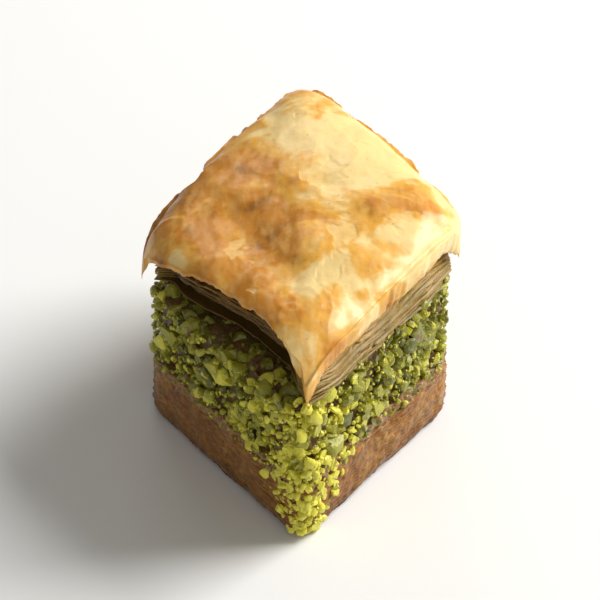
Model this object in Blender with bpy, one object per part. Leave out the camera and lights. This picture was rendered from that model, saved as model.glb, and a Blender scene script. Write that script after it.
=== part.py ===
"""One diamond-cut piece of pistachio baklava, in three solids that lie on each other.

From the bottom up: a slab of syrup-soaked pastry, a layer of chopped pistachios, and a thick
pastry top whose glazed crust domes in the middle and is pinched down at its four corners.

Units are metres and +Z is up. The origin is at the centre of the underside. The diamond's long
diagonal lies along Y and its short one along X, so that one sharp corner points along -Y.

Every solid starts as a cube primitive cut into a grid. A grid point (u, v, w) runs from -1 to 1:
u and v lie along the two sides of the diamond, and w runs from the underside to the top. The
functions below carry such a point to its place.
"""

import math

import bmesh
import bpy
from mathutils import Vector, noise

# The diamond, seen from above.
SIDE = 0.0270
SHARP_ANGLE = math.radians(71.0)  # at the front and back corners
CORNER_PULL = 0.035  # share of the half diagonal by which the knife's corners are rounded
CORNER_POWER = 9.0  # how close to the corner that rounding stays

# Heights, from the surface that the piece stands on.
BASE_TOP = 0.0058
BASE_SAG = 0.0003  # by which the base's edges are thinner than its middle
NUTS_TOP_EDGE = 0.0150
NUTS_TOP_MIDDLE = 0.0158
CRUST_FRONT, CRUST_LEFT = 0.0181, 0.0185  # the two corners that droop
CRUST_RIGHT, CRUST_BACK = 0.0210, 0.0214  # the two that stand up
CRUST_FACE_RISE = 0.0028  # from the corners to the middle of a cut face
CRUST_DOME_RISE = 0.0022  # from the middle of a cut face to the top of the dome
GAP = 0.0003  # between one solid and the next

# The dome's profile along a side: flat in the middle and steep near the corners.
ARCH_POWER = 3.6
ARCH_SHARPNESS = 0.66

# The crust lifts off the nuts along the middle of two opposite cut faces.
LIFT_HEIGHT = 0.0015
LIFT_POWER = 7.0
LIFT_BACK_SHARE = 0.55

# Relief, each as a greatest depth and the size of one bump or leaf.
WRINKLE_DEPTH, WRINKLE_SIZE = 0.00040, 0.0062
LEAF_DEPTH, LEAF_SIZE = 0.00036, 0.0055
NUT_DEPTH, NUT_SIZE = 0.00085, 0.0027
RELIEF_POWER = 6.0  # how close to the cut faces the relief stays
FOOT_INSET = 0.00055  # rounds the lower edges of the base
LIP_INSET = 0.00030  # rounds the upper edges of each layer

# Cuts that turn each cube into a grid, in plan and in height.
BASE_CUTS = (13, 6)
NUTS_CUTS = (20, 6)
TOP_CUTS = (20, 8)

MATERIALS = {
    "soaked_pastry": {"colour": (0.42, 0.20, 0.060), "roughness": 0.34},
    "chopped_pistachio": {"colour": (0.26, 0.33, 0.045), "roughness": 0.62},
    "glazed_crust": {"colour": (0.82, 0.47, 0.15), "roughness": 0.22},
}


def clear_scene():
    """Removes whatever the scene holds."""
    for obj in list(bpy.data.objects):
        bpy.data.objects.remove(obj, do_unlink=True)


def make_material(name):
    """A Principled material with the layer's colour; pastry and nuts are never metallic."""
    finish = MATERIALS[name]
    material = bpy.data.materials.new(name)
    material.use_nodes = True
    shader = material.node_tree.nodes["Principled BSDF"]
    shader.inputs["Base Color"].default_value = (*finish["colour"], 1.0)
    shader.inputs["Roughness"].default_value = finish["roughness"]
    shader.inputs["Metallic"].default_value = 0.0
    return material


def unit_grid(plan_cuts, height_cuts):
    """A cube from -1 to 1 with its faces cut into a grid."""
    mesh = bmesh.new()
    bmesh.ops.create_cube(mesh, size=2.0)
    for axis, cuts in enumerate((plan_cuts, plan_cuts, height_cuts)):
        along = [e for e in mesh.edges if abs(e.verts[0].co[axis] - e.verts[1].co[axis]) > 1.0]
        bmesh.ops.subdivide_edges(mesh, edges=along, cuts=cuts, use_grid_fill=True)
    return mesh


def crowd_to_edges(t):
    """Draws grid lines closer together near the cut faces, where the shape turns."""
    return t * (1.25 - 0.25 * t * t)


def plan(u, v):
    """The place in plan of (u, v) on the diamond, whose sharp corners are slightly rounded."""
    pull = 1.0 - CORNER_PULL * (abs(u) * abs(v)) ** CORNER_POWER
    x = (v - u) * math.sin(SHARP_ANGLE / 2) * SIDE / 2
    y = -(u + v) * math.cos(SHARP_ANGLE / 2) * SIDE / 2
    return x * pull, y * pull


def arch(t):
    """1 in the middle of a side and 0 at its ends, with the profile of the dome."""
    return max(0.0, 1.0 - abs(t) ** ARCH_POWER) ** ARCH_SHARPNESS


def between_corners(u, v):
    """Height of a flat crust that hangs from the four corners."""
    near_front = (1.0 + v) * CRUST_FRONT + (1.0 - v) * CRUST_LEFT
    near_back = (1.0 + v) * CRUST_RIGHT + (1.0 - v) * CRUST_BACK
    return ((1.0 + u) * near_front + (1.0 - u) * near_back) / 4


def base_top(u, v):
    """Upper surface of the base, a little lower at its edges."""
    return BASE_TOP - BASE_SAG * max(abs(u), abs(v)) ** 4


def nuts_top(u, v):
    """Upper surface of the nuts, a shallow mound."""
    mound = (1.0 - min(1.0, u * u)) * (1.0 - min(1.0, v * v))
    return NUTS_TOP_EDGE + (NUTS_TOP_MIDDLE - NUTS_TOP_EDGE) * mound


def crust_lift(u, v):
    """How far the underside of the top stands off the nuts, near two opposite cut faces."""
    along = max(0.0, 1.0 - v * v)
    front = max(0.0, u) ** LIFT_POWER
    back = LIFT_BACK_SHARE * max(0.0, -u) ** LIFT_POWER
    return LIFT_HEIGHT * along * min(1.0, front + back)


def crust_top(u, v):
    """The crust: pinched at the corners, arched along each cut face and domed in the middle."""
    across, along = arch(u), arch(v)
    x, y = plan(u, v)
    wrinkle = noise.fractal(Vector((x, y, 0.0)) / WRINKLE_SIZE, 1.0, 2.0, 2)
    rise = CRUST_FACE_RISE * (across + along - across * along) + CRUST_DOME_RISE * across * along
    return between_corners(u, v) + rise + WRINKLE_DEPTH * wrinkle


def leaf_relief(u, v, w):
    """Pastry leaves that end a little short of the cut, or stand a little proud of it."""
    x, y = plan(u, v)
    leaf = round(w * TOP_CUTS[1])
    return LEAF_DEPTH * noise.noise(Vector((x / LEAF_SIZE, y / LEAF_SIZE, leaf * 1.7)))


def nut_relief(u, v, w):
    """Chopped nuts that stand out of the cut as rounded lumps."""
    x, y = plan(u, v)
    height = w * (NUTS_TOP_EDGE - BASE_TOP) / 2
    nearest = noise.voronoi(Vector((x, y, height)) / NUT_SIZE)[0][0]
    return NUT_DEPTH * (0.35 - nearest)


def bend_grid(mesh, bottom, top, relief, foot_inset):
    """Moves a grid's points to their places between two surfaces, with relief on the sides."""
    for vert in mesh.verts:
        u, v, w = crowd_to_edges(vert.co.x), crowd_to_edges(vert.co.y), vert.co.z
        near_edge = max(abs(u), abs(v)) ** RELIEF_POWER
        inset = foot_inset * (w < -0.99) + LIP_INSET * (w > 0.99)
        reach = 1.0 + (relief(u, v, w) - inset) * near_edge / (SIDE / 2)
        u, v = u * reach, v * reach
        low, high = bottom(u, v), top(u, v)
        vert.co = (*plan(u, v), low + (high - low) * (w + 1.0) / 2)
    mesh.normal_update()


def layer(name, cuts, surfaces, relief, material, foot_inset=LIP_INSET):
    """One layer of the piece as an object that stands on its own underside."""
    grid = unit_grid(*cuts)
    bend_grid(grid, *surfaces, relief, foot_inset)
    underside = min(vert.co.z for vert in grid.verts)
    bmesh.ops.translate(grid, verts=grid.verts, vec=(0.0, 0.0, -underside))
    mesh = bpy.data.meshes.new(name)
    grid.to_mesh(mesh)
    grid.free()
    mesh.shade_smooth()
    mesh.set_sharp_from_angle(angle=math.radians(40.0))
    mesh.materials.append(make_material(material))
    obj = bpy.data.objects.new(name, mesh)
    obj.location.z = underside
    return obj


def centre_over_origin(parent, layers):
    """Moves the piece so that the middle of its outline stands over the origin."""
    for axis in (0, 1):
        places = [vert.co[axis] for obj in layers for vert in obj.data.vertices]
        parent.location[axis] = -(min(places) + max(places)) / 2


def build():
    """Builds the three layers in a collection of their own, parented to one empty."""
    clear_scene()
    layers = (
        layer(
            "base_pastry", BASE_CUTS, (lambda u, v: 0.0, base_top), leaf_relief,
            "soaked_pastry", FOOT_INSET,
        ),
        layer(
            "pistachio_filling", NUTS_CUTS, (lambda u, v: base_top(u, v) + GAP, nuts_top),
            nut_relief, "chopped_pistachio",
        ),
        layer(
            "top_pastry", TOP_CUTS,
            (lambda u, v: nuts_top(u, v) + GAP + crust_lift(u, v), crust_top), leaf_relief,
            "glazed_crust",
        ),
    )
    collection = bpy.data.collections.new("baklava_piece")
    bpy.context.scene.collection.children.link(collection)
    centre = bpy.data.objects.new("baklava_centre", None)
    for obj in (centre, *layers):
        collection.objects.link(obj)
    for obj in layers:
        obj.parent = centre
    centre_over_origin(centre, layers)


build()
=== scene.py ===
"""One diamond-cut piece of pistachio baklava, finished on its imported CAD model.

From the bottom up it has a slab of soaked filo, a line of ground nuts, a bed of chopped
pistachios, a stack of crisp filo leaves and a glazed crust. The CAD's three solids are replaced
by surfaces that follow the same outline and heights.

Every surface is worked out on the unit square: (u, v) from -1 to 1 run along the two sides of the
diamond, and a rim parameter runs once around it, counter-clockwise, starting at the left corner:
left corner, front corner, right corner, back corner. Lengths in the classes are in millimetres,
and meshes are written in metres.
"""

from __future__ import annotations

import itertools
import logging
import math
from dataclasses import dataclass, field
from enum import Enum
from typing import Any

import bpy
import numpy as np
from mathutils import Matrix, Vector
from numpy.typing import NDArray


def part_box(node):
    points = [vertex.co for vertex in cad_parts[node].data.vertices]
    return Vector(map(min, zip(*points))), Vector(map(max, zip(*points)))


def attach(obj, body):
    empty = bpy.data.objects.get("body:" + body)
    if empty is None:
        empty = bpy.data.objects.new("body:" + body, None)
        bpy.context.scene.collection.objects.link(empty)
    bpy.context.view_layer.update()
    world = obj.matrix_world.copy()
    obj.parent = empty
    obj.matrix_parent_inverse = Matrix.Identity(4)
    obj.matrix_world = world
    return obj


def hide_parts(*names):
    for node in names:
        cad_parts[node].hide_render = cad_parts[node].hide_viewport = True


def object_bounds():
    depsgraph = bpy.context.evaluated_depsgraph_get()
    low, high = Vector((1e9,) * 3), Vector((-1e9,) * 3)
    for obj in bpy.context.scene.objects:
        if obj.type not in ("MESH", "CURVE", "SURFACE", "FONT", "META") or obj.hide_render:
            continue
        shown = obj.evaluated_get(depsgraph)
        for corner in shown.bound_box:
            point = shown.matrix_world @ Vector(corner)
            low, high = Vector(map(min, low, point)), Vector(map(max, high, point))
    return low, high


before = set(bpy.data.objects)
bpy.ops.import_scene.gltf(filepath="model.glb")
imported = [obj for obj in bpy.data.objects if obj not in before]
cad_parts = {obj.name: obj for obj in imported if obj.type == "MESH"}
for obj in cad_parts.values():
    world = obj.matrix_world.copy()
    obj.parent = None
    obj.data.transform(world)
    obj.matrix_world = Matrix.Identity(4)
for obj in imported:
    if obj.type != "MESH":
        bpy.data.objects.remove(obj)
CAD_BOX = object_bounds()

Array = NDArray[np.float64]
Index = NDArray[np.int64]
LOG = logging.getLogger("baklava")
MM = 0.001


# ------------------------------------------------------------------ numbers and noise


def smooth(low: float, high: float, value: Array) -> Array:
    """Rises from 0 at low to 1 at high with level ends: 3t^2 - 2t^3 of the clipped share t."""
    share = np.clip((value - low) / (high - low), 0.0, 1.0)
    return share * share * (3.0 - 2.0 * share)


class GradientNoise:
    """Gradient noise in space: soft random hills about one unit across, from -1 to 1."""

    def __init__(self, seed: int) -> None:
        """Deals the random slopes that stand at the corners of the unit cells.

        Args:
            seed: picks one of many patterns.
        """
        rng = np.random.default_rng(seed)
        self.order = rng.permutation(256)
        slopes = rng.normal(size=(256, 3))
        self.slopes = slopes / np.linalg.norm(slopes, axis=1, keepdims=True)

    def _slope(self, cell: Index) -> Array:
        """The slope that belongs to each lattice corner, dealt by its three whole numbers.

        Args:
            cell: the corners' whole numbers, shape (..., 3).

        Returns:
            One slope of length 1 for each corner.
        """
        mixed = self.order[cell[..., 0] & 255] + cell[..., 1]
        mixed = self.order[mixed & 255] + cell[..., 2]
        return self.slopes[self.order[mixed & 255]]

    def at(self, points: Array) -> Array:
        """Noise at each point: the eight corners' slopes, blended by a fifth-power fade.

        Args:
            points: positions in units of one hill, shape (..., 3).

        Returns:
            One value for each point, about -1 to 1.
        """
        cell = np.floor(points).astype(np.int64)
        inside = points - cell
        fade = inside**3 * (inside * (inside * 6.0 - 15.0) + 10.0)
        total = np.zeros(points.shape[:-1])
        for corner in itertools.product((0, 1), repeat=3):
            step = np.array(corner)
            share = np.prod(np.where(step == 1, fade, 1.0 - fade), axis=-1)
            total += share * np.sum(self._slope(cell + step) * (inside - step), axis=-1)
        return total * 1.6

    def layered(self, points: Array, octaves: int = 3, gain: float = 0.5) -> Array:
        """Noise plus finer copies of itself, each at twice the detail and gain times as high.

        Args:
            points: positions in units of one hill, shape (..., 3).
            octaves: how many copies are summed.
            gain: height of each copy as a share of the one before.

        Returns:
            One value for each point, about -1 to 1.
        """
        total = np.zeros(points.shape[:-1])
        for octave in range(octaves):
            total += gain**octave * self.at(points * 2.0**octave + 17.3 * octave)
        return total / sum(gain**octave for octave in range(octaves))

    def creased(self, points: Array, octaves: int = 2) -> Array:
        """Sharp creases, 1 on the crease and falling to 0: one minus the noise's size.

        Args:
            points: positions in units of one hill, shape (..., 3).
            octaves: how many copies are summed, each at twice the detail and half as high.

        Returns:
            One value for each point, from 0 to 1.
        """
        total = np.zeros(points.shape[:-1])
        for octave in range(octaves):
            total += 0.5**octave * (1.0 - np.abs(self.at(points * 2.0**octave + 9.1 * octave)))
        return total / sum(0.5**octave for octave in range(octaves))


def cell_distance(points: Array, seed: int) -> Array:
    """Distance from each point to the nearest of the seeds, one dealt to each unit cell.

    Args:
        points: positions in units of one cell, shape (..., 3).
        seed: picks one of many patterns.

    Returns:
        The nearest seed's distance for each point.
    """
    rng = np.random.default_rng(seed)
    order = rng.permutation(256)
    places = rng.random((256, 3))
    cell = np.floor(points).astype(np.int64)
    near = np.full(points.shape[:-1], 9.0)
    for step in itertools.product((-1, 0, 1), repeat=3):
        other = cell + np.array(step)
        mixed = order[other[..., 0] & 255] + other[..., 1]
        mixed = order[(order[mixed & 255] + other[..., 2]) & 255]
        gap = np.linalg.norm(other + places[mixed] - points, axis=-1)
        near = np.minimum(near, gap)
    return near


def space(x: Array, y: Array, z: Array | float, size: float) -> Array:
    """Points for noise whose hills are size across: each place divided by size.

    Args:
        x, y, z: places in millimetres.
        size: width of one hill in millimetres.

    Returns:
        The points, shape (..., 3).
    """
    x, y, z = np.broadcast_arrays(x, y, z)
    return np.stack((x, y, z), axis=-1) / size


# ------------------------------------------------------------------ the shape of the piece


@dataclass(frozen=True)
class Diamond:
    """The outline that the knife cut and the heights of the layers, in millimetres.

    The outline is a rhombus with slightly rounded corners. Its sizes come from the CAD nodes'
    boxes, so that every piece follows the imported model.
    """

    half_x: float
    half_y: float
    centre_x: float
    centre_y: float
    base_top: float
    nuts_top: float
    crust_top: float
    corner_pull: float = 0.035
    corner_power: float = 9.0
    arch_power: float = 3.6
    arch_sharpness: float = 0.66
    front_share: float = 0.703
    left_share: float = 0.718
    right_share: float = 0.816
    back_share: float = 0.832
    face_rise: float = 2.8
    dome_rise: float = 2.2
    left_rise: float = 1.7
    left_slope: float = 0.30
    slope_length: float = 7.0
    right_slope: float = 0.04
    shrink: float = 1.7
    hill_height: float = 0.42
    corner_round: float = 0.75
    lift: float = 1.2
    unevenness: float = 0.5

    @classmethod
    def from_cad(cls) -> Diamond:
        """Reads the outline and the heights from the three CAD nodes' boxes.

        Returns:
            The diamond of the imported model.
        """
        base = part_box("base_pastry")
        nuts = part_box("pistachio_filling")
        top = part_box("top_pastry")
        low, high = np.array(top[0]) / MM, np.array(top[1]) / MM
        return cls(
            half_x=float(high[0] - low[0]) / 2,
            half_y=float(high[1] - low[1]) / 2,
            centre_x=float(high[0] + low[0]) / 2,
            centre_y=float(high[1] + low[1]) / 2,
            base_top=float(base[1][2]) / MM,
            nuts_top=float(nuts[1][2]) / MM,
            crust_top=float(high[2]),
        )

    @property
    def side(self) -> float:
        """Length of one side before its corners are rounded."""
        return math.hypot(self.half_x, self.half_y) / (1.0 - self.corner_pull)

    def plan(self, u: Array, v: Array) -> tuple[Array, Array]:
        """Place of (u, v) in plan: a skewed square, drawn in a little at its corners.

        x is (v - u) / 2 and y is -(u + v) / 2 of the half diagonals, and both are pulled in by a
        high power of |u v|, which only the corners feel.

        Args:
            u, v: places on the square.

        Returns:
            x and y in millimetres.
        """
        pull = (1.0 - self.corner_pull * np.minimum(np.abs(u * v), 1.2) ** self.corner_power) / (
            1.0 - self.corner_pull
        )
        x = self.centre_x + (v - u) / 2 * self.half_x * pull
        y = self.centre_y - (u + v) / 2 * self.half_y * pull
        return x, y

    def square(self, x: Array, y: Array) -> tuple[Array, Array]:
        """The (u, v) of a place in plan, as the skewed square without its rounded corners.

        Args:
            x, y: places in millimetres.

        Returns:
            u and v, the sum and the difference of the shares of the two half diagonals.
        """
        wide = (x - self.centre_x) / self.half_x * (1.0 - self.corner_pull)
        deep = (y - self.centre_y) / self.half_y * (1.0 - self.corner_pull)
        return -(deep + wide), wide - deep

    def rim(self, count: int) -> tuple[Array, Array]:
        """The edge of the unit square at even steps, from the left corner by the front.

        Args:
            count: how many steps go once around.

        Returns:
            u and v of each step; one of them is 1 or -1 and the other runs between.
        """
        walk = np.arange(count) / count * 4.0
        side = np.floor(walk).astype(np.int64)
        along = (walk - side) * 2.0 - 1.0
        one = np.ones(count)
        u = np.choose(side, [one, -along, -one, along])
        v = np.choose(side, [along, one, -along, -one])
        return u, v

    def arch(self, t: Array) -> Array:
        """1 in the middle of a side and 0 at its ends: (1 - |t|^power)^sharpness."""
        return np.maximum(0.0, 1.0 - np.abs(t) ** self.arch_power) ** self.arch_sharpness

    def hills(self, x: Array, y: Array) -> Array:
        """Slow unevenness of the crust, from -1 to 1."""
        return GradientNoise(14).layered(space(x, y, 0.0, 6.5), 2)

    def crust(self, u: Array, v: Array) -> Array:
        """Slow shape of the crust.

        It is a sheet hung from four corners, plus arched faces, a dome, a raised left front
        edge, a ridge that runs from the top to the front and back corners, and slow hills. The
        ridge falls off with the distance from its line, which bends to the right near the front.

        Args:
            u, v: places on the square.

        Returns:
            Heights in millimetres.
        """
        front = (1.0 + v) * self.front_share + (1.0 - v) * self.left_share
        back = (1.0 + v) * self.right_share + (1.0 - v) * self.back_share
        hung = ((1.0 + u) * front + (1.0 - u) * back) / 4 * self.crust_top
        across, along = self.arch(u), self.arch(v)
        x, y = self.plan(u, v)
        to_front, to_back = smooth(-1.2, 0.9, u + v), smooth(0.2, 1.5, -(u + v))
        off = x - self.centre_x - 1.8 * smooth(0.2, 2.0, u + v)
        off_ridge = self.slope_length * np.tanh(np.sqrt(off**2 + 0.7) / self.slope_length)
        steep = self.left_slope + (self.right_slope - self.left_slope) * smooth(-1.5, 1.5, off)
        return (
            hung
            + self.face_rise * (across + along - across * along)
            + self.dome_rise * across * along
            + self.left_rise * along * smooth(0.4, 1.0, u)
            + (0.6 - steep * off_ridge) * to_front
            + 0.07 * (3.0 - off_ridge) * to_back
            + self.hill_height * self.hills(x, y)
            - 0.25
        )

    def nuts(self, u: Array, v: Array) -> Array:
        """Upper surface of the nut bed: a shallow mound."""
        mound = np.clip(1.0 - u * u, 0.0, 1.0) * np.clip(1.0 - v * v, 0.0, 1.0)
        return self.nuts_top - 0.9 + 0.9 * mound

    def rounding(self, u: Array, v: Array) -> Array:
        """How far the nuts and the base are drawn in near the four corners."""
        return self.corner_round * smooth(0.74, 1.0, np.abs(u * v)) ** 2

    def shrunk(self, u: Array, v: Array) -> Array:
        """How far the top pastry has drawn back from the left front face, most near the front."""
        return self.shrink * smooth(0.9, 1.0, u) * smooth(-0.9, 0.5, v)

    def settle(self, points: Array) -> Array:
        """Leans and bulges the whole piece, as a soft thing cut by hand: slow noise in plan.

        The shift grows from a third at the foot to its full size at the crust.

        Args:
            points: places in millimetres, shape (count, 3).

        Returns:
            The moved places.
        """
        noise = GradientNoise(5)
        near = space(points[:, 0], points[:, 1], points[:, 2] * 0.8, 13.0)
        shift = np.stack((noise.at(near), noise.at(near + 31.7)), axis=-1)
        finer = space(points[:, 0], points[:, 1], points[:, 2], 5.0)
        shift += 0.35 * np.stack((noise.at(finer + 5.1), noise.at(finer + 47.9)), axis=-1)
        size = self.unevenness * (0.35 + 0.65 * np.clip(points[:, 2:] / self.crust_top, 0.0, 1.0))
        moved = points.copy()
        moved[:, :2] += shift * size
        return moved

    def gap_under_crust(self, u: Array, v: Array) -> Array:
        """How far the leaves stand off the nuts, near the left front face and its opposite.

        Args:
            u, v: places on the square.

        Returns:
            Millimetres: 1 - v^2 along the face times the seventh power of the way out to it.
        """
        along = np.clip(1.0 - v * v, 0.0, 1.0)
        front = np.clip(u, 0.0, 1.1) ** 7
        back = 0.55 * np.clip(-u, 0.0, 1.1) ** 7
        return self.lift * along * np.minimum(1.0, front + back)


# ------------------------------------------------------------------ meshes


@dataclass
class Surface:
    """Vertices in millimetres, faces, and numbers carried by the vertices for the materials."""

    points: Array
    faces: list[Index]
    values: dict[str, Array] = field(default_factory=dict)

    def triangles(self) -> int:
        """How many triangles the faces come to."""
        return sum(len(group) * (group.shape[1] - 2) for group in self.faces)


def join(surfaces: list[Surface]) -> Surface:
    """Puts several surfaces with the same values in one.

    Args:
        surfaces: the surfaces, in order.

    Returns:
        One surface with all their points, faces and values.
    """
    points: list[Array] = []
    faces: list[Index] = []
    start = 0
    for part in surfaces:
        points.append(part.points)
        faces.extend(group + start for group in part.faces)
        start += len(part.points)
    names = surfaces[0].values
    values = {name: np.concatenate([part.values[name] for part in surfaces]) for name in names}
    return Surface(np.concatenate(points), faces, values)


def quads(around: int, along: int, along_closed: bool) -> Index:
    """Faces of a grid that is closed around, and closed along too if asked.

    Args:
        around: points in each ring.
        along: rings.
        along_closed: whether the last ring joins the first.

    Returns:
        Corner numbers of the grid's quads, outwards for rings that run counter-clockwise while
        the profile runs from the bottom up.
    """
    i = np.arange(around)[:, None]
    j = np.arange(along if along_closed else along - 1)[None, :]
    i_next, j_next = (i + 1) % around, (j + 1) % along
    corners = (i * along + j, i_next * along + j, i_next * along + j_next, i * along + j_next)
    corners = np.broadcast_arrays(*corners)
    return np.stack([corner.ravel() for corner in corners], axis=1)


def ring_surface(x: Array, y: Array, z: Array, values: dict[str, Array]) -> Surface:
    """A tube closed on itself, as a grid that is closed both ways.

    Args:
        x, y, z: grids of shape (around, along).
        values: numbers for the same grid.

    Returns:
        The tube's surface.
    """
    points = np.stack((x, y, z), axis=-1).reshape(-1, 3)
    flat = {name: np.broadcast_to(value, x.shape).ravel() for name, value in values.items()}
    return Surface(points, [quads(*x.shape, along_closed=True)], flat)


def disc_surface(x: Array, y: Array, z: Array, values: dict[str, Array]) -> Surface:
    """A closed solid from rings: each end ring closes on one point at its middle.

    Args:
        x, y, z: grids of shape (around, along), the profile running from the middle of the
            underside outwards, up the side and back to the middle of the top.
        values: numbers for the same grid.

    Returns:
        The solid's surface with its two poles as the last two points.
    """
    around, along = x.shape
    grid = np.stack((x, y, z), axis=-1)
    poles = np.stack((grid[:, 0].mean(axis=0), grid[:, -1].mean(axis=0)))
    points = np.concatenate((grid.reshape(-1, 3), poles))
    i = np.arange(around)
    i_next = (i + 1) % around
    low = np.stack((np.full(around, around * along), i_next * along, i * along), axis=1)
    last = along - 1
    top_pole = np.full(around, around * along + 1)
    high = np.stack((i * along + last, i_next * along + last, top_pole), axis=1)
    flat = {}
    for name, value in values.items():
        full = np.broadcast_to(value, x.shape)
        ends = (full[:, 0].mean(), full[:, -1].mean())
        flat[name] = np.concatenate((full.ravel(), ends))
    return Surface(points, [quads(around, along, along_closed=False), low, high], flat)


def add_piece(
    name: str, surface: Surface, material: bpy.types.Material, node: str,
    sharp: float | None = None, shape: Diamond | None = None,
) -> bpy.types.Object:
    """Makes a mesh object of a surface, dresses it and ties it to the model.

    Args:
        name: the piece's name.
        surface: its shape, in millimetres.
        material: its finish.
        node: the CAD node that it stands for.
        sharp: angle in degrees past which an edge stays sharp; None keeps every edge smooth.
        shape: the diamond whose hand-cut unevenness the piece takes on.

    Returns:
        The finished object, at the origin.
    """
    points = surface.points if shape is None else shape.settle(surface.points)
    mesh = bpy.data.meshes.new(name)
    sizes = np.concatenate([np.full(len(group), group.shape[1]) for group in surface.faces])
    corners = np.concatenate([group.ravel() for group in surface.faces])
    mesh.vertices.add(len(surface.points))
    mesh.vertices.foreach_set("co", (points * MM).astype(np.float32).ravel())
    mesh.loops.add(len(corners))
    mesh.loops.foreach_set("vertex_index", corners.astype(np.int32))
    mesh.polygons.add(len(sizes))
    starts = np.concatenate(([0], np.cumsum(sizes)[:-1]))
    mesh.polygons.foreach_set("loop_start", starts.astype(np.int32))
    mesh.update(calc_edges=True)
    mesh.validate()
    for key, value in surface.values.items():
        layer = mesh.attributes.new(key, "FLOAT", "POINT")
        layer.data.foreach_set("value", value.astype(np.float32))
    mesh.shade_smooth()
    if sharp is not None:
        mesh.set_sharp_from_angle(angle=math.radians(sharp))
    mesh.materials.append(material)
    piece = bpy.data.objects.new(name, mesh)
    bpy.context.scene.collection.objects.link(piece)
    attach(piece, "root")
    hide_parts(node)
    LOG.info("%s: %d triangles", name, surface.triangles())
    return piece


# ------------------------------------------------------------------ finishes


def linear(hex_colour: str) -> tuple[float, float, float, float]:
    """Turns an sRGB hex colour into linear light by the standard's curve.

    Args:
        hex_colour: six hex digits.

    Returns:
        Red, green and blue from 0 to 1, and an alpha of 1.
    """
    parts = [int(hex_colour[start:start + 2], 16) / 255 for start in (0, 2, 4)]
    red, green, blue = (
        part / 12.92 if part <= 0.04045 else ((part + 0.055) / 1.055) ** 2.4 for part in parts
    )
    return red, green, blue, 1.0


def add_node(
    tree: bpy.types.NodeTree, kind: str, settings: dict[str, Any] | None = None,
    inputs: dict[str | int, Any] | None = None,
) -> bpy.types.Node:
    """Adds one node with its settings and what goes into its sockets.

    Args:
        tree: the material's nodes.
        kind: the node's type name without its ShaderNode prefix.
        settings: the node's own properties.
        inputs: socket name or number to a value, or to another node's output to link.

    Returns:
        The new node.
    """
    node = tree.nodes.new("ShaderNode" + kind)
    for key, value in (settings or {}).items():
        setattr(node, key, value)
    for key, value in (inputs or {}).items():
        if isinstance(value, bpy.types.NodeSocket):
            tree.links.new(value, node.inputs[key])
        else:
            node.inputs[key].default_value = value
    return node


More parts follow.
